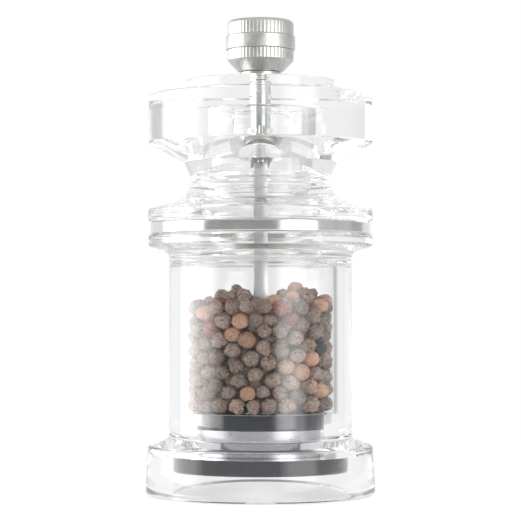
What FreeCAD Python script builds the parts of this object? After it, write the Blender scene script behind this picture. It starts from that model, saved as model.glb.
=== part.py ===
import FreeCAD, Part

import math
import os
import re

import Sketcher

# Clear pepper mill with a screw knob. Millimetres, +Z up, origin on the
# table at the centre of the base. Radii and heights are measured from there.

SIZES = [
    # clear body, outside
    ("base_radius", 34.0, "widest radius of the foot, at the table"),
    ("base_edge", 0.8, "rounding of the foot's lower edge"),
    ("foot_radius", 33.2, "radius of the foot at its upper shoulder"),
    ("foot_height", 14.2, "height of the foot's upper shoulder"),
    ("foot_edge", 1.0, "rounding of the upper shoulder"),
    ("column_radius", 27.0, "outer radius of the column"),
    ("column_bottom", 16.6, "where the sloped top of the foot meets the column"),
    ("column_fillet", 0.9, "inside rounding at the column's bottom"),
    ("flare_bottom", 71.05, "where the column meets the rim's underside"),
    ("flare_fillet", 2.6, "inside rounding below the rim"),
    ("rim_radius", 33.2, "outer radius of the body's rim and the head's rim"),
    ("rim_bottom", 73.0, "lower edge of the body's rim"),
    ("rim_top", 76.4, "upper face of the body's rim"),
    ("rim_lower_edge", 0.9, "rounding of the rim's lower edge"),
    ("rim_upper_edge", 0.7, "rounding of the rim's upper edge"),
    ("land_radius", 30.3, "radius of the raised land inside the metal ring"),
    ("land_top", 79.6, "height of the raised land"),
    ("spigot_radius", 14.8, "outer radius of the neck that centres the head"),
    ("spigot_top", 88.2, "top of the neck"),
    ("spigot_edge", 0.5, "rounding of the neck's top edges"),
    # clear body, inside
    ("mouth_radius", 12.5, "radius of the filling mouth"),
    ("mouth_bottom", 71.2, "lower end of the filling mouth"),
    ("hopper_radius", 21.8, "radius of the peppercorn hopper"),
    ("hopper_shoulder", 69.8, "corner height of the hopper's rounded shoulder"),
    ("shoulder_round", 4.0, "rounding of the hopper's shoulder"),
    ("hopper_bottom", 24.0, "lower end of the hopper"),
    ("barrel_radius", 19.0, "radius of the bore around the grinder"),
    ("flange_top", 11.3, "seat of the grinder flange in the body"),
    ("recess_radius", 26.05, "radius of the recess in the underside"),
    # metal ring
    ("collar_inner", 30.35, "inner radius of the metal ring"),
    ("collar_outer", 32.6, "outer radius of the metal ring"),
    ("collar_top", 80.0, "upper face of the metal ring"),
    ("collar_edge", 0.45, "rounding of the metal ring's edges"),
    # grinder
    ("flange_radius", 26.0, "outer radius of the grinder flange"),
    ("flange_bottom", 6.8, "lower face of the grinder flange"),
    ("flange_edge", 1.0, "rounding of the flange's lower edge"),
    ("flange_bore", 15.0, "radius of the flange's outlet"),
    ("stator_outer", 17.8, "outer radius of the fixed grinding ring"),
    ("stator_bottom", 9.6, "lower face of the fixed grinding ring"),
    ("stator_top", 19.4, "upper face of the fixed grinding ring"),
    ("stator_outlet", 14.27, "inner radius of the grinding ring at the bottom"),
    ("stator_throat", 12.5, "narrowest inner radius of the grinding ring"),
    ("throat_height", 13.4, "height of the narrowest place"),
    ("stator_inlet", 14.2, "inner radius of the grinding ring at the top"),
    ("stator_teeth", 36, "number of teeth in the grinding ring"),
    ("stator_tooth_root", 15.0, "radius of the tooth roots"),
    ("stator_tooth_half", 0.8, "half width of a tooth gap at its mouth"),
    ("ring_inner", 15.6, "inner radius of the inlet ring"),
    ("ring_outer", 18.8, "outer radius of the inlet ring"),
    ("ring_funnel", 17.8, "radius at the top of the inlet ring's funnel"),
    ("funnel_bottom", 21.8, "height where the funnel starts"),
    ("spoke_bottom", 20.4, "lower face of the spokes and the hub"),
    ("spoke_thickness", 2.6, "height of a spoke"),
    ("spoke_half", 1.1, "half width of a spoke"),
    ("spoke_reach", 16.6, "radius where a spoke ends inside the ring"),
    ("spoke_count", 3, "number of spokes"),
    ("hub_radius", 4.6, "outer radius of the hub and the spring washer"),
    ("hub_height", 3.0, "height of the hub"),
    ("hub_bore", 2.9, "bore of the hub and of the washers"),
    # retaining bar and its screws
    ("bar_bottom", 6.9, "lower face of the retaining bar"),
    ("bar_thickness", 1.4, "thickness of the retaining bar"),
    ("bar_half_length", 23.2, "half length of the retaining bar"),
    ("bar_half_width", 4.5, "half width of the retaining bar"),
    ("bar_corner", 3.0, "rounding of the bar's corners"),
    ("bar_gap", 0.1, "gap between the bar's edges and its groove"),
    ("bar_screw_offset", 20.4, "distance of a bar screw from the axis"),
    ("bar_screw_head", 1.9, "head radius of a bar screw"),
    ("bar_screw_head_height", 0.85, "head height of a bar screw"),
    ("bar_head_bore", 2.0, "radius of the bar's counterbores"),
    ("bar_screw_shank", 1.0, "shank radius of a bar screw"),
    ("bar_screw_reach", 2.4, "length of a bar screw inside the flange"),
    ("bar_screw_bore", 1.05, "radius of the bar's screw holes"),
    ("slot_half_length", 0.9, "half length of a screw's cross recess"),
    ("slot_half_width", 0.22, "half width of a screw's cross recess"),
    ("slot_depth", 0.5, "depth of a screw's cross recess"),
    # shaft and rotor
    ("shaft_half", 2.0, "half width of the square shaft"),
    ("shaft_turn", 4.0, "angle of the shaft about the axis, in degrees"),
    ("square_bottom", 9.1, "lower end of the square"),
    ("square_top", 105.9, "upper end of the square"),
    ("shaft_bottom", 7.0, "lower end of the shaft"),
    ("pivot_radius", 1.9, "radius of the shaft's lower pivot"),
    ("pivot_bore", 1.97, "radius of the pivot's hole in the retaining bar"),
    ("screw_radius", 1.95, "radius of the screwed end of the shaft"),
    ("shaft_top", 134.0, "upper end of the shaft"),
    ("shaft_chamfer", 0.4, "chamfer at the ends of the shaft"),
    ("rotor_bottom", 10.4, "lower face of the rotor"),
    ("rotor_outlet", 13.3, "radius of the rotor at the bottom"),
    ("rotor_waist", 11.9, "radius of the rotor above its fine teeth"),
    ("rotor_top", 17.4, "upper face of the rotor"),
    ("rotor_top_radius", 8.0, "radius of the rotor at the top"),
    ("spring_seat_radius", 5.2, "radius of the spring's seat in the rotor"),
    ("spring_seat", 14.2, "height of the spring's seat"),
    ("square_hole_half", 2.05, "half width of a square hole on the shaft"),
    ("rotor_teeth", 32, "number of fine teeth on the rotor"),
    ("rotor_tooth_root", 11.3, "radius of the fine tooth roots"),
    ("rotor_tooth_half", 0.8, "half width of a fine tooth gap at its mouth"),
    ("rotor_breakers", 8, "number of coarse teeth on the rotor"),
    ("breaker_bottom", 13.5, "lower end of the coarse teeth"),
    ("breaker_root", 6.9, "radius of the coarse tooth roots"),
    ("breaker_half", 2.2, "half width of a coarse tooth gap at its mouth"),
    ("rotor_washer_radius", 5.0, "radius of the washer below the rotor"),
    ("rotor_washer_thickness", 0.6, "thickness of that washer"),
    ("clip_radius", 3.6, "radius of the clip below the washer"),
    ("clip_thickness", 0.6, "thickness of the clip"),
    ("clip_hole_half", 2.03, "half width of the clip's square hole"),
    ("spring_top", 19.85, "upper end of the spring"),
    ("spring_radius", 3.9, "mean radius of the spring"),
    ("spring_wire", 0.45, "radius of the spring's wire"),
    ("spring_turns", 4.0, "number of turns of the spring"),
    ("spring_washer_thickness", 0.5, "thickness of the washer below the hub"),
    # peppercorn fill
    ("fill_radius", 21.4, "outer radius of the peppercorn fill"),
    ("fill_bore", 3.6, "radius of the space in the fill around the shaft"),
    ("fill_bottom", 24.05, "lower face of the fill"),
    ("fill_edge", 57.5, "height of the fill at the wall"),
    ("fill_crest_radius", 10.5, "radius of the crest of the fill"),
    ("fill_crest", 62.5, "height of the crest of the fill"),
    ("fill_dip", 58.5, "height of the fill at the shaft"),
    # clear head
    ("head_bottom", 80.05, "lower face of the head"),
    ("head_bore", 15.2, "radius of the head's socket around the neck"),
    ("head_rim_top", 83.95, "upper edge of the head's rim"),
    ("head_lower_edge", 1.0, "rounding of the head's lower edge"),
    ("head_upper_edge", 0.8, "rounding of the rim's upper edge"),
    ("neck_foot_radius", 21.4, "radius where the rim's top runs into the neck"),
    ("neck_foot", 87.3, "height where the rim's top runs into the neck"),
    ("neck_foot_fillet", 6.4, "inside rounding at the neck's foot"),
    ("neck_radius", 20.6, "narrowest radius of the head's neck"),
    ("neck_height", 93.4, "height of the narrowest place"),
    ("neck_fillet", 5.0, "inside rounding at the narrowest place"),
    ("neck_top_radius", 22.7, "radius at the top of the neck"),
    ("neck_top", 97.8, "height at the top of the neck"),
    ("neck_top_edge", 0.8, "rounding at the top of the neck"),
    ("cap_radius", 33.1, "radius of the wide cap"),
    ("cap_bottom", 103.5, "lower edge of the cap's upright side"),
    ("cap_top", 117.6, "upper face of the wide cap"),
    ("cap_edge", 0.7, "rounding of the cap's edges"),
    ("disc_radius", 23.6, "radius of the disc on the cap"),
    ("disc_edge_height", 121.8, "height of the disc at its edge"),
    ("disc_top", 122.0, "height of the disc at the centre"),
    ("disc_edge", 0.6, "rounding of the disc's edge"),
    ("shaft_bore", 2.25, "radius of the head's bore for the screwed shaft"),
    ("square_pit_radius", 3.1, "radius of the pit above the drive plate"),
    ("square_pit_top", 107.4, "upper end of that pit"),
    ("boss_radius", 8.4, "radius of the boss that carries the drive plate"),
    ("boss_edge", 0.4, "rounding of the boss's lower edge"),
    ("plate_top", 105.0, "lower face of the boss, upper face of the plate"),
    ("hollow_radius", 13.2, "radius of the hollow around the boss"),
    ("hollow_top", 113.4, "ceiling of the hollow"),
    ("hollow_edge", 0.8, "rounding of the ceiling's corners"),
    ("hollow_foot", 93.6, "height where the hollow starts to widen"),
    ("hollow_foot_round", 1.0, "rounding where it starts to widen"),
    ("socket_shoulder_radius", 14.6, "radius of the step above the socket"),
    ("socket_shoulder", 92.0, "height of the step above the socket"),
    ("socket_top", 90.2, "upper end of the head's socket"),
    ("plate_half_length", 5.0, "half length of the drive plate"),
    ("plate_half_width", 3.0, "half width of the drive plate"),
    ("plate_corner", 0.6, "rounding of the plate's corners"),
    ("plate_thickness", 3.0, "thickness of the drive plate"),
    ("plate_screw_offset", 3.55, "distance of a plate screw from the axis"),
    ("plate_screw_head", 1.2, "head radius of a plate screw"),
    ("plate_screw_head_height", 0.8, "head height of a plate screw"),
    ("plate_screw_shank", 0.7, "shank radius of a plate screw"),
    ("plate_screw_reach", 3.2, "length of a plate screw inside the head"),
    ("plate_screw_bore", 0.75, "radius of the plate's screw holes"),
    # knob
    ("knob_washer_radius", 6.1, "radius of the washer below the knob"),
    ("knob_washer_bottom", 122.05, "lower face of that washer"),
    ("knob_washer_top", 124.75, "upper face of that washer"),
    ("knob_washer_edge", 0.35, "rounding of the washer's edges"),
    ("knob_bottom", 124.8, "lower face of the knob"),
    ("knob_foot_radius", 6.6, "radius of the knob at its lower face"),
    ("knob_radius", 9.85, "radius of the fluted bands"),
    ("cone_top", 128.2, "upper end of the knob's cone"),
    ("band_radius", 10.3, "outer radius of the smooth band"),
    ("band_seat_radius", 9.0, "radius of the knob inside the band"),
    ("band_inner", 9.03, "inner radius of the band"),
    ("band_bottom", 131.3, "lower face of the band"),
    ("band_top", 135.4, "upper face of the band"),
    ("band_edge", 0.3, "rounding of the band's edges"),
    ("knob_edge_height", 139.2, "where the knob's top edge starts to slope"),
    ("knob_top_radius", 9.0, "radius of the knob's top face"),
    ("knob_top", 140.0, "top of the knob"),
    ("knob_top_edge", 0.3, "rounding of the knob's edges"),
    ("dish_radius", 7.6, "radius of the shallow dish in the knob's top"),
    ("dish_depth", 0.35, "depth of that dish"),
    ("knob_bore", 3.25, "radius of the knob's bore for the insert"),
    ("knob_bore_top", 136.0, "upper end of the knob's bore"),
    ("insert_radius", 3.2, "outer radius of the brass insert"),
    ("insert_bore", 2.03, "bore of the brass insert"),
    ("insert_top", 134.5, "upper end of the brass insert"),
    ("flute_count", 60, "number of flutes around the knob"),
    ("flute_radius", 0.36, "radius of a flute's cutter"),
    ("flute_offset", 10.02, "distance of the cutter from the axis"),
]
ALIASES = {alias for alias, number, meaning in SIZES}

doc = FreeCAD.newDocument("PepperMill")
sheet = doc.addObject("Spreadsheet::Sheet", "Sizes")
for row, (alias, number, meaning) in enumerate(SIZES, start=1):
    sheet.set(f"A{row}", meaning)
    sheet.set(f"B{row}", str(number))
    sheet.setAlias(f"B{row}", alias)
doc.recompute()


def formula(text):
    """The same formula with every size's name pointed at the sheet."""
    def named(match):
        word = match.group(0)
        return f"Sizes.{word}" if word in ALIASES else word
    return re.sub(r"[a-z][a-z0-9_]*", named, text)


def value(text):
    """What a formula comes to now."""
    return float(sheet.evalExpression(formula(text)))


def new_body(label):
    body = doc.addObject("PartDesign::Body", label)
    body.Label = label
    return body


def turn_body(body):
    """Turn a piece about the axis to the angle of the square shaft."""
    angle = value("shaft_turn")
    body.Placement = FreeCAD.Placement(
        FreeCAD.Vector(0, 0, 0), FreeCAD.Rotation(FreeCAD.Vector(0, 0, 1), angle))
    body.setExpression("Placement.Rotation.Angle", formula("shaft_turn") + " * 1 deg")


def origin_of(body, role):
    return next(item for item in body.Origin.OriginFeatures if item.Role == role)


def new_sketch(body, name, height=None):
    """A sketch through the axis, or a level one at the given height."""
    sketch = body.newObject("Sketcher::SketchObject", name)
    role = "XZ_Plane" if height is None else "XY_Plane"
    sketch.AttachmentSupport = [(origin_of(body, role), "")]
    sketch.MapMode = "FlatFace"
    if height is not None:
        sketch.AttachmentOffset = FreeCAD.Placement(
            FreeCAD.Vector(0, 0, value(height)), FreeCAD.Rotation())
        sketch.setExpression("AttachmentOffset.Base.z", formula(height))
    return sketch


def fix_point(sketch, geometry, end, across, up):
    """Hold a point at its formulas' distances from the sketch's origin."""
    for kind, text in (("DistanceX", across), ("DistanceY", up)):
        if abs(value(text)) < 1e-9:
            axis = -2 if kind == "DistanceX" else -1
            sketch.addConstraint(
                Sketcher.Constraint("PointOnObject", geometry, end, axis))
            continue
        index = sketch.addConstraint(
            Sketcher.Constraint(kind, -1, 1, geometry, end, value(text)))
        sketch.setExpression(f"Constraints[{index}]", formula(text))


def draw_outline(sketch, corners):
    """A closed outline. A corner is (across, up) or (across, up, rounding)."""
    count = len(corners)
    points = [FreeCAD.Vector(value(c[0]), value(c[1]), 0) for c in corners]
    arriving = []
    leaving = []
    for i, corner in enumerate(corners):
        if len(corner) == 2:
            arriving.append(points[i])
            leaving.append(points[i])
            continue
        back = (points[i - 1] - points[i]).normalize()
        ahead = (points[(i + 1) % count] - points[i]).normalize()
        half = back.getAngle(ahead) / 2
        reach = value(corner[2]) / math.tan(half)
        arriving.append(points[i] + back * reach)
        leaving.append(points[i] + ahead * reach)
    lines = []
    for i in range(count):
        lines.append(sketch.addGeometry(
            Part.LineSegment(leaving[i], arriving[(i + 1) % count]), False))
    for i, corner in enumerate(corners):
        before = lines[i - 1]
        after = lines[i]
        if len(corner) == 2:
            sketch.addConstraint(
                Sketcher.Constraint("Coincident", before, 2, after, 1))
            fix_point(sketch, after, 1, corner[0], corner[1])
            continue
        back = (points[i - 1] - points[i]).normalize()
        ahead = (points[(i + 1) % count] - points[i]).normalize()
        radius = value(corner[2])
        middle = (back + ahead).normalize()
        centre = points[i] + middle * (radius / math.sin(back.getAngle(ahead) / 2))
        turns_left = back.cross(ahead).z < 0
        first, last = (arriving[i], leaving[i])
        if not turns_left:
            first, last = (last, first)
        start = math.atan2(first.y - centre.y, first.x - centre.x)
        stop = math.atan2(last.y - centre.y, last.x - centre.x)
        circle = Part.Circle(centre, FreeCAD.Vector(0, 0, 1), radius)
        arc = sketch.addGeometry(Part.ArcOfCircle(circle, start, stop), False)
        entry, leave = (1, 2) if turns_left else (2, 1)
        sketch.addConstraint(Sketcher.Constraint("Tangent", before, 2, arc, entry))
        sketch.addConstraint(Sketcher.Constraint("Tangent", arc, leave, after, 1))
        index = sketch.addConstraint(Sketcher.Constraint("Radius", arc, radius))
        sketch.setExpression(f"Constraints[{index}]", formula(corner[2]))
        point = sketch.addGeometry(Part.Point(points[i]), True)
        sketch.addConstraint(Sketcher.Constraint("PointOnObject", point, 1, before))
        sketch.addConstraint(Sketcher.Constraint("PointOnObject", point, 1, after))
        fix_point(sketch, point, 1, corner[0], corner[1])


def draw_circle(sketch, across, up, radius):
    centre = FreeCAD.Vector(value(across), value(up), 0)
    circle = sketch.addGeometry(
        Part.Circle(centre, FreeCAD.Vector(0, 0, 1), value(radius)), False)
    fix_point(sketch, circle, 3, across, up)
    index = sketch.addConstraint(
        Sketcher.Constraint("Radius", circle, value(radius)))
    sketch.setExpression(f"Constraints[{index}]", formula(radius))


def draw_rectangle(sketch, left, right, low, high, corner=None):
    spots = [(left, low), (right, low), (right, high), (left, high)]
    if corner is not None:
        spots = [spot + (corner,) for spot in spots]
    draw_outline(sketch, spots)


def revolve(body, name, corners, kind="Revolution"):
    """Spin an outline about the axis, to add (Revolution) or cut (Groove)."""
    sketch = new_sketch(body, name + "_outline")
    draw_outline(sketch, corners)
    feature = body.newObject("PartDesign::" + kind, name)
    feature.Profile = sketch
    feature.ReferenceAxis = (sketch, ["V_Axis"])
    feature.Angle = 360
    return feature


def raise_up(body, name, bottom, height, draw, cut=False):
    """Add or cut the drawn outline upwards from the height `bottom`."""
    sketch = new_sketch(body, name + "_outline", bottom)
    draw(sketch)
    kind = "Pocket" if cut else "Pad"
    feature = body.newObject("PartDesign::" + kind, name)
    feature.Profile = sketch
    feature.Length = value(height)
    feature.setExpression("Length", formula(height))
    feature.Reversed = cut
    return feature


def repeat_around(body, name, features, count):
    """Copy features evenly around the axis."""
    doc.recompute()
    pattern = body.newObject("PartDesign::PolarPattern", name)
    pattern.Originals = features
    pattern.Axis = (origin_of(body, "Z_Axis"), [""])
    pattern.Angle = 360
    pattern.Occurrences = int(value(count))
    pattern.setExpression("Occurrences", formula(count))
    body.Tip = pattern
    return pattern


def plain_ring(label, inner, outer, low, high, edge=None):
    """A washer or tube, with its two outer edges rounded if asked."""
    body = new_body(label)
    rounding = () if edge is None else (edge,)
    revolve(body, label + "_ring", [
        (inner, low),
        (outer, low) + rounding,
        (outer, high) + rounding,
        (inner, high),
    ])
    return body


def add_screw(body, name, across, up, head, shank, head_bottom, head_height, reach):
    """A round-headed screw, head down, with a cross recess in the head."""
    parts = []
    parts.append(raise_up(
        body, name + "_head", head_bottom, head_height,
        lambda sketch: draw_circle(sketch, across, up, head)))
    parts.append(raise_up(
        body, name + "_shank", f"{head_bottom} + {head_height}", reach,
        lambda sketch: draw_circle(sketch, across, up, shank)))
    long_way = "slot_half_length"
    short_way = "slot_half_width"
    for tag, wide, tall in (("a", long_way, short_way), ("b", short_way, long_way)):
        def slot(sketch, wide=wide, tall=tall):
            draw_rectangle(
                sketch, f"{across} - {wide}", f"{across} + {wide}",
                f"{up} - {tall}", f"{up} + {tall}")
        parts.append(raise_up(
            body, name + "_slot_" + tag, head_bottom, "slot_depth", slot, cut=True))
    return parts


# ---------------------------------------------------------------- clear body
clear_body = new_body("clear_body")
revolve(clear_body, "clear_body_wall", [
    ("recess_radius", "0"),
    ("base_radius", "0", "base_edge"),
    ("foot_radius", "foot_height", "foot_edge"),
    ("column_radius", "column_bottom", "column_fillet"),
    ("column_radius", "flare_bottom", "flare_fillet"),
    ("rim_radius", "rim_bottom", "rim_lower_edge"),
    ("rim_radius", "rim_top", "rim_upper_edge"),
    ("land_radius", "rim_top"),
    ("land_radius", "land_top", "collar_edge"),
    ("spigot_radius", "land_top"),
    ("spigot_radius", "spigot_top", "spigot_edge"),
    ("mouth_radius", "spigot_top", "spigot_edge"),
    ("mouth_radius", "mouth_bottom", "rim_upper_edge"),
    ("hopper_radius", "hopper_shoulder", "shoulder_round"),
    ("hopper_radius", "hopper_bottom"),
    ("barrel_radius", "hopper_bottom"),
    ("barrel_radius", "flange_top"),
    ("recess_radius", "flange_top"),
])

plain_ring(
    "collar_ring", "collar_inner", "collar_outer", "rim_top", "collar_top", "collar_edge")

# ---------------------------------------------------------------- grinder
flange = new_body("mechanism_flange")
revolve(flange, "flange_plate", [
    ("flange_bore", "flange_bottom"),
    ("flange_radius", "flange_bottom", "flange_edge"),
    ("flange_radius", "flange_top"),
    ("stator_outer + 0.05", "flange_top"),
    ("stator_outer + 0.05", "stator_bottom"),
    ("flange_bore", "stator_bottom"),
])
raise_up(
    flange, "bar_groove", "flange_bottom", "bar_bottom + bar_thickness - flange_bottom",
    lambda sketch: draw_rectangle(
        sketch, "-1 * (bar_half_width + bar_gap)", "bar_half_width + bar_gap",
        "-1 * (bar_half_length + bar_gap)", "bar_half_length + bar_gap", "bar_corner"),
    cut=True)
for side in (-1, 1):
    raise_up(
        flange, "bar_hole_front" if side < 0 else "bar_hole_back",
        "bar_bottom + bar_thickness", "bar_screw_reach + 0.15",
        lambda sketch, side=side: draw_circle(
            sketch, "0", f"{side} * bar_screw_offset", "bar_screw_bore"),
        cut=True)

stator = new_body("stator_ring")
revolve(stator, "stator_blank", [
    ("stator_outlet", "stator_bottom"),
    ("stator_outer", "stator_bottom"),
    ("stator_outer", "stator_top"),
    ("stator_inlet", "stator_top"),
    ("stator_throat", "throat_height"),
])
stator_gap = raise_up(
    stator, "stator_gap", "stator_bottom", "stator_top - stator_bottom",
    lambda sketch: draw_outline(sketch, [
        ("stator_throat - 1", "-1 * stator_tooth_half"),
        ("stator_tooth_root", "0"),
        ("stator_throat - 1", "stator_tooth_half"),
    ]),
    cut=True)
repeat_around(stator, "stator_gaps", [stator_gap], "stator_teeth")

inlet = new_body("inlet_ring")
revolve(inlet, "inlet_wall", [
    ("ring_inner", "stator_top"),
    ("ring_outer", "stator_top"),
    ("ring_outer", "hopper_bottom"),
    ("ring_funnel", "hopper_bottom"),
    ("ring_inner", "funnel_bottom"),
])
spoke = raise_up(
    inlet, "inlet_spoke", "spoke_bottom", "spoke_thickness",
    lambda sketch: draw_rectangle(
        sketch, "0", "spoke_reach", "-1 * spoke_half", "spoke_half"))
repeat_around(inlet, "inlet_spokes", [spoke], "spoke_count")
raise_up(
    inlet, "inlet_hub", "spoke_bottom", "hub_height",
    lambda sketch: draw_circle(sketch, "0", "0", "hub_radius"))
raise_up(
    inlet, "inlet_hub_bore", "spoke_bottom", "hub_height",
    lambda sketch: draw_circle(sketch, "0", "0", "hub_bore"),
    cut=True)

bar = new_body("retaining_bar")
raise_up(
    bar, "bar_plate", "bar_bottom", "bar_thickness",
    lambda sketch: draw_rectangle(
        sketch, "-1 * bar_half_width", "bar_half_width",
        "-1 * bar_half_length", "bar_half_length", "bar_corner"))
raise_up(
    bar, "bar_pivot_hole", "bar_bottom", "bar_thickness",
    lambda sketch: draw_circle(sketch, "0", "0", "pivot_bore"),
    cut=True)
for side, place in ((-1, "front"), (1, "back")):
    raise_up(
        bar, "bar_end_hole_" + place, "bar_bottom", "bar_thickness",
        lambda sketch, side=side: draw_circle(
            sketch, "0", f"{side} * bar_screw_offset", "bar_screw_bore"),
        cut=True)
    raise_up(
        bar, "bar_head_seat_" + place, "bar_bottom", "bar_screw_head_height + 0.05",
        lambda sketch, side=side: draw_circle(
            sketch, "0", f"{side} * bar_screw_offset", "bar_head_bore"),
        cut=True)

bar_screws = new_body("retaining_bar_screws")
bar_screw = add_screw(
    bar_screws, "bar_screw", "0", "bar_screw_offset",
    "bar_screw_head", "bar_screw_shank", "bar_bottom + 0.05", "bar_screw_head_height",
    "bar_thickness - bar_screw_head_height - 0.05 + bar_screw_reach")
repeat_around(bar_screws, "bar_screw_copies", bar_screw, "2")

# ---------------------------------------------------------------- shaft, rotor
shaft = new_body("drive_shaft")
raise_up(
    shaft, "shaft_square", "square_bottom", "square_top - square_bottom",
    lambda sketch: draw_rectangle(
        sketch, "-1 * shaft_half", "shaft_half", "-1 * shaft_half", "shaft_half"))
revolve(shaft, "shaft_screw", [
    ("0", "square_top"),
    ("screw_radius", "square_top"),
    ("screw_radius", "shaft_top - shaft_chamfer"),
    ("screw_radius - shaft_chamfer", "shaft_top"),
    ("0", "shaft_top"),
])
revolve(shaft, "shaft_pivot", [
    ("0", "shaft_bottom"),
    ("pivot_radius - shaft_chamfer", "shaft_bottom"),
    ("pivot_radius", "shaft_bottom + shaft_chamfer"),
    ("pivot_radius", "square_bottom"),
    ("0", "square_bottom"),
])
turn_body(shaft)


def draw_square_hole(sketch, half="square_hole_half"):
    draw_rectangle(sketch, f"-1 * {half}", half, f"-1 * {half}", half)


rotor = new_body("rotor")
revolve(rotor, "rotor_blank", [
    ("0", "rotor_bottom"),
    ("rotor_outlet", "rotor_bottom"),
    ("rotor_waist", "throat_height"),
    ("rotor_top_radius", "rotor_top"),
    ("spring_seat_radius", "rotor_top"),
    ("spring_seat_radius", "spring_seat"),
    ("0", "spring_seat"),
])
fine_gap = raise_up(
    rotor, "rotor_fine_gap", "rotor_bottom", "rotor_top - rotor_bottom",
    lambda sketch: draw_outline(sketch, [
        ("rotor_tooth_root", "0"),
        ("rotor_outlet + 1", "-1 * rotor_tooth_half"),
        ("rotor_outlet + 1", "rotor_tooth_half"),
    ]),
    cut=True)
repeat_around(rotor, "rotor_fine_gaps", [fine_gap], "rotor_teeth")
coarse_gap = raise_up(
    rotor, "rotor_coarse_gap", "breaker_bottom", "rotor_top - breaker_bottom",
    lambda sketch: draw_outline(sketch, [
        ("breaker_root", "0"),
        ("rotor_outlet", "-1 * breaker_half"),
        ("rotor_outlet", "breaker_half"),
    ]),
    cut=True)
repeat_around(rotor, "rotor_coarse_gaps", [coarse_gap], "rotor_breakers")
raise_up(
    rotor, "rotor_square_hole", "rotor_bottom", "rotor_top - rotor_bottom",
    draw_square_hole, cut=True)
turn_body(rotor)

rotor_washer = plain_ring(
    "rotor_washer", "hub_bore", "rotor_washer_radius",
    "rotor_bottom - rotor_washer_thickness", "rotor_bottom")

clip = new_body("rotor_clip")
raise_up(
    clip, "clip_plate", "rotor_bottom - rotor_washer_thickness - clip_thickness",
    "clip_thickness",
    lambda sketch: draw_circle(sketch, "0", "0", "clip_radius"))
raise_up(
    clip, "clip_hole", "rotor_bottom - rotor_washer_thickness - clip_thickness",
    "clip_thickness",
    lambda sketch: draw_square_hole(sketch, "clip_hole_half"), cut=True)
turn_body(clip)

spring = new_body("grinder_spring")
spring_wire = new_sketch(spring, "spring_wire_circle")
draw_circle(
    spring_wire, "spring_radius", "spring_seat + spring_wire + 0.02", "spring_wire")
spring_coil = spring.newObject("PartDesign::AdditiveHelix", "spring_coil")
spring_coil.Profile = spring_wire
spring_coil.ReferenceAxis = (spring_wire, ["V_Axis"])
spring_coil.Mode = "height-turns-angle"
spring_coil.Height = value("spring_top - spring_seat - 2 * spring_wire - 0.04")
spring_coil.Turns = value("spring_turns")
spring_coil.setExpression(
    "Height", formula("spring_top - spring_seat - 2 * spring_wire - 0.04"))
spring_coil.setExpression("Turns", formula("spring_turns"))

plain_ring(
    "spring_washer_top", "hub_bore + 0.05", "hub_radius",
    "spring_top", "spring_top + spring_washer_thickness")

# ---------------------------------------------------------------- peppercorns
peppercorns = new_body("peppercorns")
revolve(peppercorns, "peppercorn_fill", [
    ("fill_bore", "fill_bottom"),
    ("fill_radius", "fill_bottom"),
    ("fill_radius", "fill_edge"),
    ("fill_crest_radius", "fill_crest"),
    ("fill_bore", "fill_dip"),
])

# ---------------------------------------------------------------- clear head
head = new_body("turning_head")
revolve(head, "head_wall", [
    ("head_bore", "head_bottom"),
    ("rim_radius", "head_bottom", "head_lower_edge"),
    ("rim_radius", "head_rim_top", "head_upper_edge"),
    ("neck_foot_radius", "neck_foot", "neck_foot_fillet"),
    ("neck_radius", "neck_height", "neck_fillet"),
    ("neck_top_radius", "neck_top", "neck_top_edge"),
    ("cap_radius", "cap_bottom", "cap_edge"),
    ("cap_radius", "cap_top", "cap_edge"),
    ("disc_radius", "cap_top"),
    ("disc_radius", "disc_edge_height", "disc_edge"),
    ("shaft_bore + 4.5", "disc_top"),
    ("shaft_bore", "disc_top"),
    ("shaft_bore", "square_pit_top"),
    ("square_pit_radius", "square_pit_top"),
    ("square_pit_radius", "plate_top"),
    ("boss_radius", "plate_top", "boss_edge"),
    ("boss_radius", "hollow_top", "hollow_edge"),
    ("hollow_radius", "hollow_top", "hollow_edge"),
    ("hollow_radius", "hollow_foot", "hollow_foot_round"),
    ("socket_shoulder_radius", "socket_shoulder"),
    ("head_bore", "socket_top"),
])
for side in (-1, 1):
    raise_up(
        head, "head_screw_hole_front" if side < 0 else "head_screw_hole_back",
        "plate_top", "plate_screw_reach + 0.2",
        lambda sketch, side=side: draw_circle(
            sketch, "0", f"{side} * plate_screw_offset", "plate_screw_bore"),
        cut=True)
turn_body(head)

plate = new_body("drive_plate")
raise_up(
    plate, "plate_blank", "plate_top - plate_thickness", "plate_thickness",
    lambda sketch: draw_rectangle(
        sketch, "-1 * plate_half_width", "plate_half_width",
        "-1 * plate_half_length", "plate_half_length", "plate_corner"))
raise_up(
    plate, "plate_square_hole", "plate_top - plate_thickness", "plate_thickness",
    draw_square_hole, cut=True)
for side in (-1, 1):
    raise_up(
        plate, "plate_hole_front" if side < 0 else "plate_hole_back",
        "plate_top - plate_thickness", "plate_thickness",
        lambda sketch, side=side: draw_circle(
            sketch, "0", f"{side} * plate_screw_offset", "plate_screw_bore"),
        cut=True)
turn_body(plate)

plate_screws = new_body("drive_plate_screws")
plate_screw = add_screw(
    plate_screws, "plate_screw", "0", "plate_screw_offset",
    "plate_screw_head", "plate_screw_shank",
    "plate_top - plate_thickness - plate_screw_head_height", "plate_screw_head_height",
    "plate_thickness + plate_screw_reach")
repeat_around(plate_screws, "plate_screw_copies", plate_screw, "2")
turn_body(plate_screws)

# ---------------------------------------------------------------- knob
plain_ring(
    "knob_washer", "shaft_bore", "knob_washer_radius",
    "knob_washer_bottom", "knob_washer_top", "knob_washer_edge")

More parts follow.
